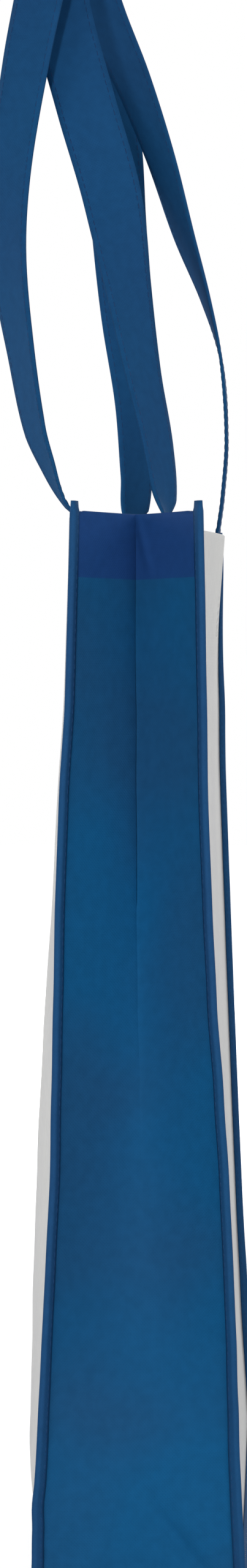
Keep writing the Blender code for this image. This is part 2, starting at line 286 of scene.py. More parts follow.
# Shares of the way from the gusset's crease to its seam: where its points lie, and how far
# its bottom is level and its hem doubled.
GUSSET_SHARES = (
    0.008, 0.02, 0.04, 0.07, 0.10, 0.14, 0.18, 0.22, 0.27, 0.32, 0.37, 0.42, 0.48, 0.54, 0.60,
    0.66, 0.72, 0.78, 0.83, 0.88, 0.94, 1.0,
)
LEVEL_SHARE = 0.8
HEM_SHARE = 0.89

# Angles of the rows in a hem's fold and of the points round a tape's edge.
HEM_TURNS = (45, 90, 135)
TAPE_TURNS = (-90, -60, -30, 0, 30, 60, 90)

# Sewing: stitches of fine thread, 2.5 mm long and one every 3.4 mm. The bow is how far a
# stitch's middle rises and its ends dip, and the sink how deep the outside roots' thread
# lies, both as shares of the thread's radius.
STITCH_PITCH = 0.0034
STITCH_LENGTH = 0.0025
STITCH_RINGS = (0.22, 0.78)
STITCH_BOW = 0.2
THREAD_RADIUS = 0.0002
THREAD_SINK = 0.4
STRAP_STITCH_INSET = 0.0021
TAPE_STITCH_PLACE = 0.0022
ROOT_STITCH_MARGIN = 0.004
ROOT_LINE_STEPS = 12

# Cloth: how it bends light, how rough it is and how much that varies, and its weld dots,
# 1.3 mm apart: a little coarser than the real 1 mm, so that they show.
POLYPROPYLENE_IOR = 1.49
CLOTH_ROUGHNESS = 0.72
ROUGHNESS_BELOW = 0.05
ROUGHNESS_ABOVE = 0.07
DOT_PITCH = 0.0013
DOT_SHADE = 0.9

# Polyester thread: how it bends light, its gloss and its roughness.
POLYESTER_IOR = 1.58
THREAD_GLOSS = 0.15
THREAD_ROUGHNESS = 0.6

# Studio: the share of white light from all round, and what lifts the floor to white,
# near the bag, where its shadow lies, and far from it.
SURROUND_LIGHT = 0.20
FLOOR_LIFT = (0.5, 1.0)
FLOOR_LIFT_DISTANCES = (0.6, 2.4)
FLOOR_SIZE = 12.0
FLOOR_DROP = 0.0002

# Lamps: name, place, what it looks at, size and power.
LAMPS = (
    ("front_lamp", (-0.28, -2.6, 0.75), (0.0, 0.0, 0.35), 0.14, 27),
    ("left_front_lamp", (-1.35, -2.0, 0.8), (0.0, 0.0, 0.3), 1.0, 10),
    ("right_front_lamp", (1.35, -2.0, 1.1), (0.0, 0.0, 0.3), 1.0, 15),
    ("left_lamp", (-2.2, 1.2, 0.8), (0.0, 0.0, 0.25), 1.2, 27),
    ("right_lamp", (2.2, 0.8, 1.5), (0.0, 0.0, 0.35), 1.2, 21),
    ("back_lamp", (0.3, 2.4, 1.2), (0.0, 0.0, 0.3), 1.4, 26),
)

# Photograph: its camera, worked out from the bag's size. The focal length, the middle and
# the vanishing point are in pixels of the photograph. The camera stands before the near
# side, and its sensor is in millimetres.
PHOTO_HEIGHT = 2560
PHOTO_FOCAL = 6450
PHOTO_MIDDLE = (201.5, 1280)
LENGTHWISE_VANISHING = (490, 1075)
CAMERA_DISTANCE = 1.5
CAMERA_PLACE = Vector((0.062, -BAG_LENGTH / 2 - CAMERA_DISTANCE, 0.364))
SENSOR = 36.0


def linear(code):
    """The linear colour of an sRGB hex code."""
    channels = [int(code[n:n + 2], 16) / 255 for n in (1, 3, 5)]
    straight = [c / 12.92 if c <= 0.04045 else ((c + 0.055) / 1.055) ** 2.4 for c in channels]
    return (*straight, 1.0)


def smooth_step(share):
    """A soft rise from 0 to 1."""
    share = min(max(share, 0.0), 1.0)
    return share * share * (3 - 2 * share)


def spaced(start, end, parts, grading=1.0):
    """Values from start up to, and without, the end."""
    return [start + (end - start) * (n / parts) ** grading for n in range(parts)]


# How the cloth hangs, by the same rules as the CAD.


def half_mouth(z):
    """Half the distance between a gusset's two seams."""
    up = z / BAG_HEIGHT
    pinch = up * (PINCH_SHAPE - (PINCH_SHAPE - 1) * up)
    return (GUSSET_WIDTH - (GUSSET_WIDTH - MOUTH_WIDTH) * pinch) / 2


def table_value(table, place):
    """A value read from a table, with soft passages between its lines."""
    if place <= table[0][0]:
        return table[0][1]
    for (start, first), (end, second) in zip(table, table[1:]):
        if place <= end:
            return first + (second - first) * smooth_step((place - start) / (end - start))
    return table[-1][1]


def lean(side, along, z):
    """How far a seam stands out of line at a height, fading into the panel."""
    near = NEAR_FRONT_LEAN if side == FRONT else NEAR_BACK_LEAN
    far = FAR_FRONT_LEAN if side == FRONT else FAR_BACK_LEAN
    shift = table_value(near, z * 1000) * (1 - along) ** NEAR_LEAN_SHAPE
    shift += table_value(far, z * 1000) * along ** FAR_LEAN_SHAPE
    return shift / 1000


def panel_x(side, y, z):
    """The X of a broad panel, without its small waves."""
    if side == FRONT:
        belly, dent, sway, tuck = FRONT_BELLY, FRONT_DENT, FRONT_SWAY, FRONT_TUCK
    else:
        belly, dent, sway, tuck = BACK_BELLY, BACK_DENT, BACK_SWAY, BACK_TUCK
    up = z / BAG_HEIGHT
    along = min(max(y / BAG_LENGTH + 0.5, 0.0), 1.0)
    mouth = up ** MOUTH_SHAPE
    filled = 1 - math.exp(-(max(z - SEAM_HEIGHT, 0.0) / BELLY_RISE) ** BELLY_SHAPE)
    out = half_mouth(z)
    out += (belly * filled * (1 - mouth) - dent * mouth) * math.sin(math.pi * along)
    out -= tuck * mouth * math.sin(3 * math.pi * along)
    if side == BACK:
        out += table_value(BACK_SWELL, z * 1000) / 1000 * math.sin(math.pi * along)
    swing = sway * up ** SWAY_SHAPE * math.sin(2 * math.pi * along)
    return side * out - swing + lean(side, along, z)


def waves(along, up, seed):
    """Small uneven waves of standing cloth, broad and faint."""
    total = 0.0
    for (length, rise, depth), step in ((BROAD_WAVES, 0), (FAINT_WAVES, FAINT_SEED_STEP)):
        total += noise.noise(Vector((along / length, up / rise, seed + step))) * depth
    return total


def ridge(u, v, start, end, width, height):
    """A soft crease across flat cloth from start to end, fading at both ends."""
    run = Vector(end) - Vector(start)
    place = Vector((u, v)) - Vector(start)
    share = place.dot(run) / run.length_squared
    share = min(max(share, 0.0), 1.0)
    off = (place - run * share).length
    faded = math.sin(math.pi * (CREASE_END_FADE + (1 - 2 * CREASE_END_FADE) * share))
    return height * math.exp(-(off / width) ** 2) * faded


def grid_lengths():
    """Places of the columns along the bag."""
    near = -BAG_LENGTH / 2
    far = BAG_LENGTH / 2
    return (
        spaced(near, near + CORNER_RADIUS, CORNER_STEPS)
        + spaced(near + CORNER_RADIUS, far - CORNER_RADIUS, LENGTH_STEPS)
        + spaced(far - CORNER_RADIUS, far, CORNER_STEPS)
        + [far]
    )


def grid_heights():
    """Heights of the rows."""
    corner_top = SEAM_HEIGHT + CORNER_RADIUS
    hem_edge = BAG_HEIGHT - HEM_DEPTH
    return (
        spaced(SEAM_HEIGHT, corner_top, CORNER_STEPS)
        + spaced(corner_top, hem_edge, HEIGHT_STEPS)
        + spaced(hem_edge, BAG_HEIGHT, HEM_STEPS)
        + [BAG_HEIGHT]
    )


LENGTHS = grid_lengths()
HEIGHTS = grid_heights()
LAST_COLUMN = len(LENGTHS) - 1
LAST_ROW = len(HEIGHTS) - 1


def flat_point(column, row):
    """A crossing of the flat panel's grid, with the lower corners rounded."""
    y = LENGTHS[column]
    z = HEIGHTS[row]
    straight = BAG_LENGTH / 2 - CORNER_RADIUS
    centre_y = min(max(y, -straight), straight)
    centre_z = max(z, SEAM_HEIGHT + CORNER_RADIUS)
    a = (y - centre_y) / CORNER_RADIUS
    b = (z - centre_z) / CORNER_RADIUS
    y = centre_y + CORNER_RADIUS * a * math.sqrt(1 - b * b / 2)
    z = centre_z + CORNER_RADIUS * b * math.sqrt(1 - a * a / 2)
    return y, z


def seam_path():
    """The seam's route: down the near side, along the bottom and up the far side."""
    near = [flat_point(0, row) for row in range(LAST_ROW, 0, -1)]
    bottom = [flat_point(column, 0) for column in range(LAST_COLUMN)]
    far = [flat_point(LAST_COLUMN, row) for row in range(LAST_ROW + 1)]
    return near + bottom + far


PATH = seam_path()
LAST_STATION = len(PATH) - 1


def path_lengths():
    """The distance along the seam at each station."""
    total = [0.0]
    for first, second in zip(PATH, PATH[1:]):
        total.append(total[-1] + math.dist(first, second))
    return total


PATH_LENGTHS = path_lengths()


def inward(station):
    """The direction across the seam into the panel, in the plane of the panel."""
    before = Vector(PATH[max(station - 1, 0)])
    after = Vector(PATH[min(station + 1, LAST_STATION)])
    along = (after - before).normalized()
    return Vector((0.0, -along.y, along.x))


def bottom_share(station):
    """1 along the bottom and 0 up the sides."""
    return 1 - smooth_step((PATH[station][1] - SEAM_HEIGHT) / CORNER_RADIUS)


def fold_depth(z):
    """How far the gusset's middle lies inside the line of its seams."""
    slack = max((GUSSET_WIDTH / 2) ** 2 - half_mouth(z) ** 2, 0.0)
    rise = smooth_step((z - SEAM_HEIGHT - CORNER_RADIUS) / FOLD_RISE)
    return math.sqrt(slack) * rise * (1 - ROUND_FOLD_LOSS * (1 - z / BAG_HEIGHT))


def uneven_fold(share, z):
    """The shown fold's depth: its left face steepens towards the crease, its right flattens.

    Lower down, where the fold is round, both faces are alike.
    """
    even = fold_profile(share, z)
    crisp = smooth_step((z / BAG_HEIGHT - UNEVEN_FROM) / UNEVEN_RISE)
    power = LEFT_FACE_SHAPE if share < 0 else RIGHT_FACE_SHAPE
    return even + (1 - abs(share) ** power - even) * crisp * UNEVEN_SHARE


def fold_profile(share, z):
    """The fold's depth across the gusset, as a share of its depth at the crease."""
    soft = CREASE_SHARP + (CREASE_SOFT - CREASE_SHARP) * (1 - z / BAG_HEIGHT) ** CREASE_SHAPE
    edge = math.sqrt(1 + soft * soft)
    return (edge - math.sqrt(share * share + soft * soft)) / (edge - soft)


def seam_corner(side, station):
    """The line where a panel and the gusset meet."""
    y, z = PATH[station]
    return Vector((panel_x(side, y, z), y, z))


def seam_frame(side, station):
    """A seam's corner, the way its fin stands out, and the way to the panel's ply of it."""
    y, z = PATH[station]
    corner = seam_corner(side, station)
    along = seam_corner(side, min(station + 1, LAST_STATION))
    along -= seam_corner(side, max(station - 1, 0))
    into = inward(station)
    panel_way = Vector((0.0, y, z)) + into * CLOTH
    panel_way.x = panel_x(side, panel_way.y, panel_way.z)
    panel_way = (panel_way - corner).normalized()
    slope = fold_profile(1 - SLOPE_STEP, z) / SLOPE_STEP
    gusset_way = Vector((-side * half_mouth(z), 0.0, 0.0)) + into * fold_depth(z) * slope
    gusset_way.normalize()
    out = -(panel_way + gusset_way).normalized()
    resting = Vector((side * math.cos(BOTTOM_FIN_ANGLE), 0.0, 0.0))
    resting -= into * math.sin(BOTTOM_FIN_ANGLE)
    out = out.lerp(resting, bottom_share(station))
    if side == FRONT and y > 0:
        open_below = 1 - smooth_step((z - FIN_TURN_FROM) / FIN_TURN_LENGTH)
        out = out.lerp(Vector((1.0, 0.0, 0.0)), FIN_TURN * open_below * (1 - bottom_share(station)))
    out.normalize()
    across = along.cross(out).normalized()
    if across.dot(panel_way) < across.dot(gusset_way):
        across = -across
    return corner, out, across


FRAMES = {
    side: [seam_frame(side, station) for station in range(LAST_STATION + 1)]
    for side in (FRONT, BACK)
}


def seam_point(side, station, out_by, across_by):
    """A point of the seam's fin, measured from the seam's corner."""
    corner, out, across = FRAMES[side][station]
    return corner + out * out_by + across * across_by


def shifted(row, distance, facing):
    """A row of points moved sideways in plan by a distance, to the side that is faced."""
    moved = []
    for n, point in enumerate(row):
        sides = []
        for first, second in ((n - 1, n), (n, n + 1)):
            if first < 0 or second >= len(row):
                continue
            step = row[second] - row[first]
            normal = Vector((step.y, -step.x, 0.0)).normalized()
            sides.append(normal if normal.dot(facing) > 0 else -normal)
        mitre = (sides[0] + sides[-1]) / (1 + sides[0].dot(sides[-1]))
        moved.append(point + mitre * distance)
    return moved


def hem_rows(outer_rows, facing):
    """The hem's rows: over the fold, and down inside. The fold is pressed flat at both ends."""
    radius = HEM_OFFSET / 2
    rows = []
    last = len(outer_rows[0]) - 1
    for turn in HEM_TURNS:
        angle = math.radians(turn)
        row = shifted(outer_rows[0], radius * (1 - math.cos(angle)), facing)
        lifts = [radius * math.sin(angle) * 2 * min(n, last - n) / last for n in range(last + 1)]
        rows.append([point + UP * lift for point, lift in zip(row, lifts)])
    for outer in outer_rows:
        rows.append(shifted(outer, HEM_OFFSET, facing))
    return rows


# Meshes.


def add_sheet(name, rows, thickness, finishes, zone=None):
    """A sheet of cloth through rows of points. Its map holds real lengths in metres.

    zone gives the number of the finish for a row, so that doubled cloth has its own.
    """
    mesh = bpy.data.meshes.new(name)
    columns = len(rows[0]) - 1
    lines = len(rows) - 1
    shape = bmesh.new()
    bmesh.ops.create_grid(shape, x_segments=columns, y_segments=lines, size=1.0)
    outside = []
    places = {}
    for vertex in shape.verts:
        column = round((vertex.co.x + 1) / 2 * columns)
        line = round((vertex.co.y + 1) / 2 * lines)
        places[vertex] = (column, line)
        if rows[line][column] is None:
            outside.append(vertex)
        else:
            vertex.co = rows[line][column]
    spans = map_lengths(rows)
    layer = shape.loops.layers.uv.new("cloth_metres")
    for face in shape.faces:
        face.smooth = True
        if zone is not None:
            face.material_index = zone(min(places[vertex][1] for vertex in face.verts))
        for loop in face.loops:
            column, line = places[loop.vert]
            loop[layer].uv = (spans[0][column], spans[1][line])
    bmesh.ops.delete(shape, geom=outside, context="VERTS")
    bmesh.ops.remove_doubles(shape, verts=shape.verts, dist=NO_DISTANCE)
    shape.to_mesh(mesh)
    shape.free()
    sheet = bpy.data.objects.new(name, mesh)
    bpy.context.scene.collection.objects.link(sheet)
    for finish in finishes:
        mesh.materials.append(finish)
    solid = sheet.modifiers.new("Thickness", "SOLIDIFY")
    solid.thickness = thickness
    solid.offset = 0.0
    solid.use_even_offset = True
    solid.use_quality_normals = True
    return sheet


def map_lengths(rows):
    """Real lengths across and along a sheet, measured along its middle row and column."""
    middle_row = rows[len(rows) // 2]
    across = [0.0]
    for first, second in zip(middle_row, middle_row[1:]):
        across.append(across[-1] + (second - first).length if first and second else across[-1])
    middle = len(rows[0]) // 2
    along = [0.0]
    for first, second in zip(rows, rows[1:]):
        along.append(along[-1] + (second[middle] - first[middle]).length)
    return across, along


def mouth_sag(y, z):
    """How far the mouth of a panel sags between its stiff seams."""
    middle = math.sin(math.pi * (y / BAG_LENGTH + 0.5)) ** 2
    return MOUTH_SAG * middle * (z / BAG_HEIGHT) ** MOUTH_SAG_SHAPE


def wall_point(side, column, row):
    """A point of a broad panel with its small waves, which die out at the seams."""
    y, z = flat_point(column, row)
    edge = min(BAG_LENGTH / 2 - abs(y), z - SEAM_HEIGHT)
    free = smooth_step((edge - WAVE_MARGIN) / WAVE_FADE)
    quiet = 1 - HEM_QUIET * smooth_step((z - BAG_HEIGHT + HEM_DEPTH + HEM_FADE) / HEM_FADE)
    size = FRONT_WAVE_SHARE if side == FRONT else 1.0
    x = panel_x(side, y, z) + waves(y, z, PANEL_SEED * side) * free * quiet * size
    return Vector((x, y, z - mouth_sag(y, z)))


def panel_walls(side):
    """The rows of a panel's wall, from the bottom seam to the mouth."""
    walls = []
    for row in range(LAST_ROW + 1):
        wall = []
        for column in range(LAST_COLUMN + 1):
            if row == 0 or column in (0, LAST_COLUMN):
                wall.append(seam_point(side, station_at(column, row), 0.0, PLY_OFFSET))
            else:
                wall.append(wall_point(side, column, row))
        walls.append(wall)
    return walls


def station_at(column, row):
    """The seam's station at a crossing on the panel's edge."""
    if column == 0:
        return LAST_ROW - row
    if column == LAST_COLUMN:
        return LAST_ROW + LAST_COLUMN + row
    return LAST_ROW + column


def panel_rows(side, walls):
    """Rows of a broad panel: seam ply below, the wall, and the hem folded to the inside."""
    columns = range(LAST_COLUMN + 1)
    below = [
        seam_point(side, station_at(column, 0), SEAM_ALLOWANCE, PLY_OFFSET) for column in columns
    ]
    rows = [[None] + below + [None]]
    for row, wall in enumerate(walls):
        near = seam_point(side, station_at(0, row), SEAM_ALLOWANCE, PLY_OFFSET)
        far = seam_point(side, station_at(LAST_COLUMN, row), SEAM_ALLOWANCE, PLY_OFFSET)
        rows.append([near] + wall + [far])
    skipped = sum(1 for y in LENGTHS if y < HEM_END_MARGIN - BAG_LENGTH / 2)
    outer = [wall[skipped:LAST_COLUMN + 1 - skipped] for wall in reversed(walls[-1 - HEM_STEPS:])]
    for line in hem_rows(outer, Vector((-side, 0.0, 0.0))):
        blank = [None] * (skipped + 1)
        rows.append(blank + line + blank)
    return rows


def gusset_row(station):
    """One row across the gusset, from the back seam to the front one, without its plies."""
    y, z = PATH[station]
    into = inward(station)
    back = seam_point(BACK, station, 0.0, -PLY_OFFSET)
    front = seam_point(FRONT, station, 0.0, -PLY_OFFSET)
    shares = [-share for share in reversed(GUSSET_SHARES)] + [0.0] + list(GUSSET_SHARES)
    drop = BOTTOM_DROP * bottom_share(station)
    level = 1 - LEVEL_SHARE
    side_cloth = 1 - bottom_share(station)
    row = []
    for share in shares:
        fold = fold_depth(z) * uneven_fold(share, z)
        settle = drop * min((1 - abs(share)) / level, 1.0)
        u = share * GUSSET_WIDTH / 2
        inner = 1 - abs(share)
        free = smooth_step(inner / GUSSET_WAVE_FADE) * side_cloth
        wave = waves(u, z, NEAR_GUSSET_SEED if y < 0 else FAR_GUSSET_SEED) * free
        if y < 0:
            creases = sum(ridge(u, z, *crease) for crease in GUSSET_CREASES)
            wave += creases * side_cloth * smooth_step(inner / CREASE_SEAM_FADE)
        point = back.lerp(front, (share + 1) / 2) + into * (fold - settle + wave)
        point.z -= CREASE_SAG * inner * (z / BAG_HEIGHT) ** CREASE_SAG_SHAPE
        drifted = smooth_step((z - CREASE_DRIFT_FROM) / CREASE_DRIFT_RISE)
        point.x -= CREASE_DRIFT * inner * drifted
        row.append(point)
    return row


def gusset_rows():
    """Rows of the gusset strip: near hem, near side, bottom, far side and far hem."""
    walls = [gusset_row(station) for station in range(LAST_STATION + 1)]
    rows = []
    for station, wall in enumerate(walls):
        back = seam_point(BACK, station, SEAM_ALLOWANCE, -PLY_OFFSET)
        front = seam_point(FRONT, station, SEAM_ALLOWANCE, -PLY_OFFSET)
        rows.append([back] + wall + [front])
    skipped = sum(1 for share in GUSSET_SHARES if share > HEM_SHARE)
    near = [wall[skipped:-skipped] for wall in walls[:HEM_STEPS + 1]]
    far = [wall[skipped:-skipped] for wall in reversed(walls[-1 - HEM_STEPS:])]
    near_hem = hem_rows(near, Vector((0.0, 1.0, 0.0)))
    far_hem = hem_rows(far, Vector((0.0, -1.0, 0.0)))
    blank = [None] * (skipped + 1)
    before = [blank + line + blank for line in reversed(near_hem)]
    after = [blank + line + blank for line in far_hem]
    return before + rows + after


def tape_rows(side):
    """Rows of a binding tape: a channel over both plies, pressed nearly shut at its tabs."""
    rows = []
    for station in range(LAST_STATION + 1):
        run = PATH_LENGTHS[station]
        pull = noise.noise(Vector((run / PULL_LENGTH, side, PULL_SEED))) * PULL_DEPTH
        section = [(TAPE_START, -TAPE_OFFSET), (TAPE_STITCH_PLACE, -TAPE_OFFSET)]
        for angle in TAPE_TURNS:
            turn = math.radians(angle)
            out_by = TURN_CENTRE + (TAPE_OFFSET + pull) * math.cos(turn)
            section.append((out_by, TAPE_OFFSET * math.sin(turn)))
        section += [(TAPE_STITCH_PLACE, TAPE_OFFSET), (TAPE_START, TAPE_OFFSET)]
        rows.append([seam_point(side, station, *place) for place in section])
    for height in TAB_HEIGHTS:
        rows.insert(0, tab_row(rows, height))
        rows.append(tab_row(list(reversed(rows)), height))
    return rows


def tab_row(rows, height):
    """The end of a tape above the hem, with its two legs drawn together."""
    top = next(row for row in rows if row[0].z <= BAG_HEIGHT + SAME_HEIGHT)
    lift = UP * (TAB_LENGTH - CLOTH / 2) * height
    centre = (top[0] + top[-1]) / 2
    across = (top[-1] - top[0]).normalized()
    closing = TAB_CLOSING + TAB_CLOSING_RISE * height
    raised = []
    for point in top:
        off = (point - centre).dot(across)
        raised.append(point - across * off * closing + lift)
    return raised


# Handles.


def smooth_route(knots):
    """Rows read from a smooth curve through knots of X, Y, Z and bearing."""
    times = [0.0]
    for first, second in zip(knots, knots[1:]):
        times.append(times[-1] + (second.xyz - first.xyz).length)
    slopes = []
    for n in range(len(knots)):
        before = max(n - 1, 0)
        after = min(n + 1, len(knots) - 1)
        slopes.append((knots[after] - knots[before]) / (times[after] - times[before]))
    places = []
    for n in range(len(knots) - 1):
        span = times[n + 1] - times[n]
        for step in range(ROUTE_STEPS):
            t = step / ROUTE_STEPS
            places.append(
                knots[n] * (2 * t ** 3 - 3 * t ** 2 + 1)
                + slopes[n] * span * (t ** 3 - 2 * t ** 2 + t)
                + knots[n + 1] * (3 * t ** 2 - 2 * t ** 3)
                + slopes[n + 1] * span * (t ** 3 - t ** 2)
            )
    return places + [knots[-1]]


def root_row(side, end, z):
    """A row of a handle's root, flat against the inside of its panel."""
    row = []
    for n in range(STRAP_STEPS + 1):
        share = 2 * n / STRAP_STEPS - 1
        y = end * (HANDLE_SPACING + share * STRAP_WIDTH) / 2
        x = panel_x(side, y, min(z, BAG_HEIGHT)) - side * STRAP_OFFSET
        row.append(Vector((x, y, z)))
    return row


def handle_rows(side, route, far_bearing):
    """Rows of a handle: sewn flat inside its panel at both roots, and free between them."""
    shares = [2 * n / STRAP_STEPS - 1 for n in range(STRAP_STEPS + 1)]
    middle = STRAP_STEPS // 2
    near_x = root_row(side, -1, STRAP_START)[middle].x
    far_x = root_row(side, 1, STRAP_START)[middle].x
    knots = [Vector((near_x, -HANDLE_SPACING / 2, STRAP_START, NEAR_BEARING))]
    for drift, along, height, bearing in route:
        x = near_x + (far_x - near_x) * (along + 1) / 2 + drift * HANDLE_RISE
        y = along * HANDLE_SPACING / 2
        z = BAG_HEIGHT + height * HANDLE_RISE
        knots.append(Vector((x, y, z, bearing)))
    knots.append(Vector((far_x, HANDLE_SPACING / 2, STRAP_START, far_bearing)))
    places = smooth_route(knots)
    free = []
    for n in range(1, len(places) - 1):
        along = (places[n + 1].xyz - places[n - 1].xyz).normalized()
        bearing = math.radians(places[n].w)
        edge = Vector((math.cos(bearing), math.sin(bearing), 0.0))
        edge = (edge - along * edge.dot(along)).normalized()
        centre = places[n].xyz
        free.append([centre + edge * share * STRAP_WIDTH / 2 for share in shares])
    foot = BAG_HEIGHT - STRAP_SEWN_LENGTH
    sewn = spaced(foot, BAG_HEIGHT, STRAP_STEPS) + [STRAP_START]
    near = [root_row(side, -1, z) for z in sewn]
    far = [root_row(side, 1, z) for z in reversed(sewn)]
    return near + free + far


# Sewing.


class Sewing:
    """Stitches of thread that lie on cloth, gathered into one piece."""

    def __init__(self):
        self.shape = bmesh.new()

    def stitch(self, start, end, normal):
        """One stitch: a short bowed thread, pulled half into the cloth and dipping at its ends."""
        along = (end - start).normalized()
        side = normal.cross(along).normalized()
        lift = -normal * THREAD_RADIUS * STITCH_BOW
        new = self.shape.verts.new
        tips = [new(start - lift), new(end - lift)]
        rings = []
        for share in STITCH_RINGS:
            centre = start.lerp(end, share) + lift
            spokes = (side, normal, -side, -normal)
            rings.append([new(centre + spoke * THREAD_RADIUS) for spoke in spokes])
        for n in range(4):
            m = (n + 1) % 4
            self.shape.faces.new((rings[0][n], rings[0][m], rings[1][m], rings[1][n]))
            self.shape.faces.new((tips[0], rings[0][m], rings[0][n]))
            self.shape.faces.new((tips[1], rings[1][n], rings[1][m]))

    def run(self, line, normals):
        """A run of stitches along a line that lies on the cloth's face."""
        marks = [0.0]
        for first, second in zip(line, line[1:]):
            marks.append(marks[-1] + (second - first).length)
        count = int((marks[-1] - STITCH_LENGTH) / STITCH_PITCH) + 1
        piece = 0
        for n in range(count):
            ends = []
            for place in (n * STITCH_PITCH, n * STITCH_PITCH + STITCH_LENGTH):
                while piece < len(marks) - 2 and marks[piece + 1] < place:
                    piece += 1
                span = marks[piece + 1] - marks[piece]
                share = (place - marks[piece]) / span if span else 0.0
                ends.append(line[piece].lerp(line[piece + 1], share))
            self.stitch(ends[0], ends[1], normals[piece])

    def finish(self, name, finish):
        """The stitches as one object."""
        for face in self.shape.faces:
            face.smooth = True
        bmesh.ops.recalc_face_normals(self.shape, faces=self.shape.faces)
        mesh = bpy.data.meshes.new(name)
        self.shape.to_mesh(mesh)
        self.shape.free()
        mesh.materials.append(finish)
        piece = bpy.data.objects.new(name, mesh)
        bpy.context.scene.collection.objects.link(piece)
        return piece


def row_normals(rows, line, column):
    """The sheet's normal at a crossing, from its neighbours."""
    before = rows[max(line - 1, 0)][column]
    after = rows[min(line + 1, len(rows) - 1)][column]
    left = rows[line][max(column - 1, 0)]
    right = rows[line][min(column + 1, len(rows[line]) - 1)]
    return (after - before).cross(right - left).normalized()


def sew_strap_edges(sewing, rows):
    """Two rows of stitches along a strap, seen on both of its faces."""
    inset = STRAP_STITCH_INSET / STRAP_WIDTH
    last = len(rows[0]) - 1
    for share in (inset, 1 - inset):
        place = share * last
        column = min(int(place), last - 1)
        for face in (1, -1):
            line = []
            normals = []
            for n, row in enumerate(rows):
                normal = row_normals(rows, n, column) * face
                point = row[column].lerp(row[column + 1], place - column)
                line.append(point + normal * STRAP_THICKNESS / 2)
                normals.append(normal)
            sewing.run(line, normals)


def sew_root(sewing, side, end, offset, normal):
    """A sewn box with a cross, on one face of a handle's root."""
    low = BAG_HEIGHT - STRAP_SEWN_LENGTH + ROOT_STITCH_MARGIN
    high = BAG_HEIGHT - ROOT_STITCH_MARGIN
    half = STRAP_WIDTH / 2 - ROOT_STITCH_MARGIN
    middle = end * HANDLE_SPACING / 2
    corners = ((-half, low), (half, low), (half, high), (-half, high))
    lines = [(corners[n], corners[(n + 1) % 4]) for n in range(4)]
    lines += [(corners[0], corners[2]), (corners[1], corners[3])]
    for (y1, z1), (y2, z2) in lines:
        line = []
        for n in range(ROOT_LINE_STEPS + 1):
            y = middle + y1 + (y2 - y1) * n / ROOT_LINE_STEPS
            z = z1 + (z2 - z1) * n / ROOT_LINE_STEPS
            line.append(Vector((panel_x(side, y, z) + offset, y, z)))
        sewing.run(line, [normal] * len(line))


def sew_tape(sewing, side):
    """The stitches that hold a binding tape, seen on both legs."""
    for leg in (1, -1):
        line = []
        normals = []
        for station in range(LAST_STATION + 1):
            across = FRAMES[side][station][2] * leg
            face = (TAPE_OFFSET + CLOTH / 2) * leg
            line.append(seam_point(side, station, TAPE_STITCH_PLACE, face))
            normals.append(across)
        sewing.run(line, normals)


# Materials.


def add_node(tree, kind, settings=None, links=None):
    """A new node, with its values set and its inputs joined to other nodes' outputs."""
    node = tree.nodes.new(kind)
    for name, value in (settings or {}).items():
        if isinstance(name, int) or name in node.inputs:
            node.inputs[name].default_value = value
        else:
            setattr(node, name, value)
    for name, source in (links or {}).items():
        tree.links.new(source, node.inputs[name])
    return node


def mapped(tree, value, source, target):
    """A value moved from one range to another."""
    settings = {"From Min": source[0], "From Max": source[1]}
    settings.update({"To Min": target[0], "To Max": target[1]})
    return add_node(tree, "ShaderNodeMapRange", settings, {"Value": value}).outputs["Result"]


def combined(tree, operation, first, second):
    """Two values joined by a sum, a product or the like."""
    links = {0: first, 1: second}
    return add_node(tree, "ShaderNodeMath", {"operation": operation}, links).outputs[0]


def clouded(tree, place, scale, detail, roughness):
    """Uneven noise, with the given number of clouds in a metre."""
    settings = {"Scale": scale, "Detail": detail, "Roughness": roughness}
    return add_node(tree, "ShaderNodeTexNoise", settings, {"Vector": place}).outputs["Fac"]


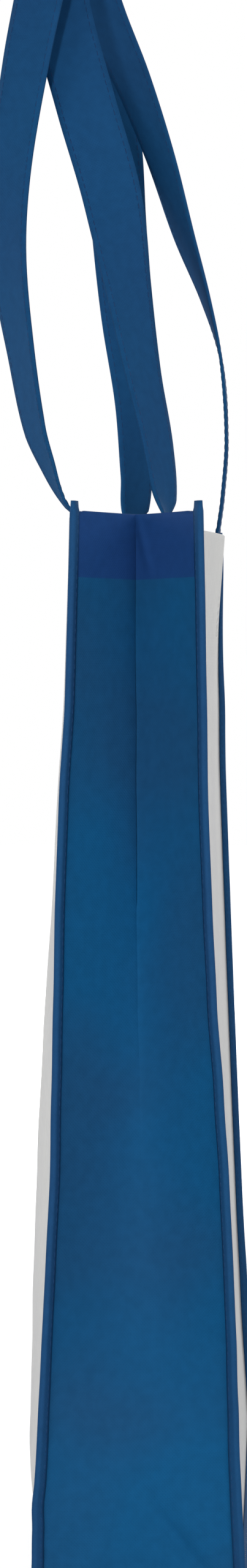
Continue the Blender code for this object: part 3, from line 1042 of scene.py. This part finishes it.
def spunbond(name, code, shade, mottle, gloss_level):
    """Spunbond polypropylene: a felt of melt-spun fibres, spot-welded by a heated roller.

    It gives the eye a matt, slightly cloudy colour with a close pattern of small pressed dots.
    """
    material = bpy.data.materials.new(name)
    material.use_nodes = True
    tree = material.node_tree
    shader = tree.nodes["Principled BSDF"]
    shader.inputs["IOR"].default_value = POLYPROPYLENE_IOR
    shader.inputs["Specular IOR Level"].default_value = gloss_level
    place = add_node(tree, "ShaderNodeUVMap", {"uv_map": "cloth_metres"}).outputs["UV"]
    body = add_node(tree, "ShaderNodeTexCoord").outputs["Object"]

    # Weld dots, pressed in by the roller.
    turns = 2 * math.pi / DOT_PITCH
    spun = add_node(
        tree,
        "ShaderNodeVectorMath",
        {"operation": "MULTIPLY", 1: (turns, turns, 0.0)},
        {0: place},
    )
    wave = add_node(tree, "ShaderNodeVectorMath", {"operation": "SINE"}, {0: spun.outputs[0]})
    parts = add_node(tree, "ShaderNodeSeparateXYZ", links={0: wave.outputs[0]})
    dots = combined(tree, "MULTIPLY", parts.outputs["X"], parts.outputs["Y"])
    pits = mapped(tree, dots, (0.15, 0.85), (0.0, 1.0))

    # Fibres: fine uneven strands about 0.3 mm apart.
    fibres = clouded(tree, body, 3200.0, 3.0, 0.65)

    # Cloudiness: fibres lie thicker and thinner over 4 mm, and the colour drifts over 60 mm.
    clouds = clouded(tree, body, 250.0, 2.0, 0.5)
    drift = clouded(tree, body, 16.0, 1.0, 0.4)
    tint = add_node(
        tree,
        "ShaderNodeMix",
        {"data_type": "RGBA", 6: linear(code), 7: linear(shade)},
        {0: mapped(tree, drift, (0.35, 0.65), (0.0, 1.0))},
    )
    cloud_share = mapped(tree, clouds, (0.3, 0.7), (1 - mottle, 1 + mottle))
    dot_share = mapped(tree, pits, (0.0, 1.0), (1.0, 1 - DOT_SHADE * mottle))
    colour = add_node(
        tree,
        "ShaderNodeVectorMath",
        {"operation": "SCALE"},
        {0: tint.outputs[2], "Scale": combined(tree, "MULTIPLY", cloud_share, dot_share)},
    )
    tree.links.new(colour.outputs[0], shader.inputs["Base Color"])
    rough = (CLOTH_ROUGHNESS - ROUGHNESS_BELOW, CLOTH_ROUGHNESS + ROUGHNESS_ABOVE)
    tree.links.new(mapped(tree, fibres, (0.0, 1.0), rough), shader.inputs["Roughness"])
    pressed = add_node(
        tree, "ShaderNodeMath", {"operation": "MULTIPLY_ADD", 1: -1.0}, {0: pits, 2: fibres}
    )
    bump = add_node(
        tree,
        "ShaderNodeBump",
        {"Strength": 0.35, "Distance": 0.00012},
        {"Height": pressed.outputs[0]},
    )
    tree.links.new(bump.outputs["Normal"], shader.inputs["Normal"])
    return material


def spun_thread(name, code):
    """Spun polyester sewing thread: two twisted strands, a little glossier than the cloth."""
    material = bpy.data.materials.new(name)
    material.use_nodes = True
    tree = material.node_tree
    shader = tree.nodes["Principled BSDF"]
    shader.inputs["IOR"].default_value = POLYESTER_IOR
    shader.inputs["Specular IOR Level"].default_value = THREAD_GLOSS
    body = add_node(tree, "ShaderNodeTexCoord").outputs["Object"]

    # Twist about 0.25 mm long.
    twist = add_node(
        tree,
        "ShaderNodeTexWave",
        {"Scale": 2500.0, "Distortion": 1.5, "bands_direction": "DIAGONAL"},
        {"Vector": body},
    )
    colour = add_node(
        tree,
        "ShaderNodeVectorMath",
        {"operation": "SCALE", 0: linear(code)[:3]},
        {"Scale": mapped(tree, twist.outputs["Fac"], (0.0, 1.0), (0.8, 1.15))},
    )
    tree.links.new(colour.outputs[0], shader.inputs["Base Color"])
    shader.inputs["Roughness"].default_value = THREAD_ROUGHNESS
    return material


# Stage: floor, white surround, lamps and camera.


def white_world():
    """A soft pale surround that the camera, and anything glossy or clear, sees as white."""
    world = bpy.data.worlds.new("studio_surround")
    bpy.context.scene.world = world
    world.use_nodes = True
    tree = world.node_tree
    tree.nodes.clear()
    ray = add_node(tree, "ShaderNodeLightPath")
    direct = combined(tree, "MAXIMUM", ray.outputs["Is Camera Ray"], ray.outputs["Is Glossy Ray"])
    seen = combined(tree, "MAXIMUM", direct, ray.outputs["Is Transmission Ray"])
    light = add_node(
        tree, "ShaderNodeBackground", {"Color": linear("#FFFFFF"), "Strength": SURROUND_LIGHT}
    )
    white = add_node(tree, "ShaderNodeBackground", {"Color": linear("#FFFFFF"), "Strength": 1.0})
    mix = add_node(
        tree,
        "ShaderNodeMixShader",
        links={0: seen, 1: light.outputs[0], 2: white.outputs[0]},
    )
    add_node(tree, "ShaderNodeOutputWorld", links={"Surface": mix.outputs[0]})


def white_floor():
    """A plain white floor that keeps the bag's shadow."""
    bpy.ops.mesh.primitive_plane_add(size=FLOOR_SIZE, location=(0.0, 0.0, -FLOOR_DROP))
    floor = bpy.context.object
    floor.name = "studio_floor"
    material = bpy.data.materials.new("white_floor_paint")
    material.use_nodes = True
    tree = material.node_tree
    tree.nodes.clear()
    ray = add_node(tree, "ShaderNodeLightPath")
    paint = add_node(tree, "ShaderNodeBsdfDiffuse", {"Color": linear("#EDEDED")})
    body = add_node(tree, "ShaderNodeTexCoord").outputs["Object"]
    away = add_node(tree, "ShaderNodeVectorMath", {"operation": "LENGTH"}, {0: body})
    rise = mapped(tree, away.outputs["Value"], FLOOR_LIFT_DISTANCES, FLOOR_LIFT)
    lift = combined(tree, "MULTIPLY", ray.outputs["Is Camera Ray"], rise)
    glow = add_node(tree, "ShaderNodeEmission", {"Color": linear("#FFFFFF")}, {"Strength": lift})
    total = add_node(
        tree, "ShaderNodeAddShader", links={0: paint.outputs[0], 1: glow.outputs[0]}
    )
    add_node(tree, "ShaderNodeOutputMaterial", links={"Surface": total.outputs[0]})
    floor.data.materials.append(material)


def add_lamp(name, place, aim, size, power):
    """A soft square lamp."""
    data = bpy.data.lights.new(name, "AREA")
    data.shape = "SQUARE"
    data.size = size
    data.energy = power
    lamp = bpy.data.objects.new(name, data)
    lamp.location = place
    way = Vector(aim) - Vector(place)
    lamp.rotation_euler = way.to_track_quat("-Z", "Y").to_euler()
    bpy.context.scene.collection.objects.link(lamp)


def photo_camera():
    """The photograph's camera: a long lens at the height of the bag's upper part."""
    data = bpy.data.cameras.new("photo_camera")
    data.sensor_fit = "VERTICAL"
    data.sensor_height = SENSOR
    data.lens = PHOTO_FOCAL / PHOTO_HEIGHT * SENSOR
    camera = bpy.data.objects.new("photo_camera", data)
    camera.location = CAMERA_PLACE
    yaw = math.atan((LENGTHWISE_VANISHING[0] - PHOTO_MIDDLE[0]) / PHOTO_FOCAL)
    pitch = math.atan((PHOTO_MIDDLE[1] - LENGTHWISE_VANISHING[1]) / PHOTO_FOCAL)
    camera.rotation_euler = (math.pi / 2 - pitch, 0.0, yaw)
    bpy.context.scene.collection.objects.link(camera)
    bpy.context.scene.camera = camera


def set_stage():
    """Floor, surround, lamps and camera, with colours shown as they are."""
    white_world()
    white_floor()
    for lamp in LAMPS:
        add_lamp(*lamp)
    photo_camera()
    bpy.context.scene.view_settings.view_transform = "Standard"


# The bag.


def dress(piece, finish, *nodes):
    """The piece rides on the bag and stands for CAD nodes, which are hidden. Its finish is not
    used.
    """
    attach(piece, "root")
    if nodes:
        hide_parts(*nodes)


def hem_zone(first, last):
    """A rule that gives rows from first to last the single cloth, and the rest the doubled."""

    def zone(line):
        return 0 if first <= line < last else 1

    return zone


def make_panels():
    """The two light-grey broad panels."""
    single = spunbond("light_grey_spunbond", "#CECECD", "#C9C9CA", 0.03, 0.12)
    double = spunbond("light_grey_spunbond_doubled", "#CDCDCC", "#CACACA", 0.02, 0.12)
    for side, name in ((FRONT, "front_panel"), (BACK, "back_panel")):
        rows = panel_rows(side, panel_walls(side))
        zone = hem_zone(0, LAST_ROW + 1 - HEM_STEPS)
        panel = add_sheet(f"{name}_cloth", rows, CLOTH, (single, double), zone)
        dress(panel, "grey_cloth", name)


def make_gusset():
    """The blue strip that makes the near side, the bottom and the far side."""
    single = spunbond("blue_spunbond", "#194870", "#104F7B", 0.06, 0.04)
    # The hem is doubled cloth; its darker blue is painted shade, for the light that shines through
    # the single cloth and not through two layers.
    double = spunbond("blue_spunbond_doubled_painted_shade", "#1B3D71", "#1A4073", 0.045, 0.04)
    rows = gusset_rows()
    hem_lines = len(HEM_TURNS) + HEM_STEPS + 1
    zone = hem_zone(hem_lines + HEM_STEPS, len(rows) - 1 - hem_lines - HEM_STEPS)
    gusset = add_sheet("gusset_cloth", rows, CLOTH, (single, double), zone)
    dress(gusset, "blue_cloth", "gusset")


def make_bindings():
    """The blue tapes bound over the seams, and their stitches."""
    tape_cloth = spunbond("blue_binding_tape", "#1D446D", "#1B4770", 0.04, 0.04)
    # The stitches are real thread; their navy, darker than the tape, is painted shade of the stitch
    # line pressed into the cloth.
    thread = spun_thread("navy_thread_painted_shade", "#163C66")
    for side, name in ((FRONT, "front_binding"), (BACK, "back_binding")):
        rows = tape_rows(side)
        tape = add_sheet(f"{name}_tape", rows, CLOTH, (tape_cloth,))
        dress(tape, "binding_tape", name)
        sewing = Sewing()
        sew_tape(sewing, side)
        dress(sewing.finish(f"{name}_stitches", thread), "binding_tape")


def make_handles():
    """The two blue straps, with stitched edges and a box and cross sewn at each root."""
    strap_cloth = spunbond("blue_strap_cloth", "#1A446E", "#184771", 0.06, 0.02)
    # The stitches are real thread; their dark navy, darker than the strap, is painted shade of the
    # stitch lines pressed into the cloth.
    thread = spun_thread("blue_strap_thread_painted_shade", "#10305A")
    pale_thread = spun_thread("pale_grey_thread", "#C6C6C5")
    straps = (
        (FRONT, "front_handle", FRONT_ROUTE, FRONT_FAR_BEARING),
        (BACK, "back_handle", BACK_ROUTE, BACK_FAR_BEARING),
    )
    outer = Sewing()
    for side, name, route, far_bearing in straps:
        rows = handle_rows(side, route, far_bearing)
        strap = add_sheet(f"{name}_strap", rows, STRAP_THICKNESS, (strap_cloth,))
        dress(strap, "strap_cloth", name)
        middle = STRAP_STEPS // 2
        length = sum((b[middle] - a[middle]).length for a, b in zip(rows, rows[1:]))
        sewing = Sewing()
        sew_strap_edges(sewing, rows)
        inside = Vector((-side, 0.0, 0.0))
        face = STRAP_OFFSET + STRAP_THICKNESS / 2
        for end in (-1, 1):
            sew_root(sewing, side, end, -side * face, inside)
            sew_root(outer, side, end, side * (CLOTH / 2 - THREAD_RADIUS * THREAD_SINK), -inside)
        dress(sewing.finish(f"{name}_stitches", thread), "strap_cloth")
    dress(outer.finish("root_stitches_outside", pale_thread), "grey_cloth")


set_stage()
make_gusset()
make_panels()
make_bindings()
make_handles()
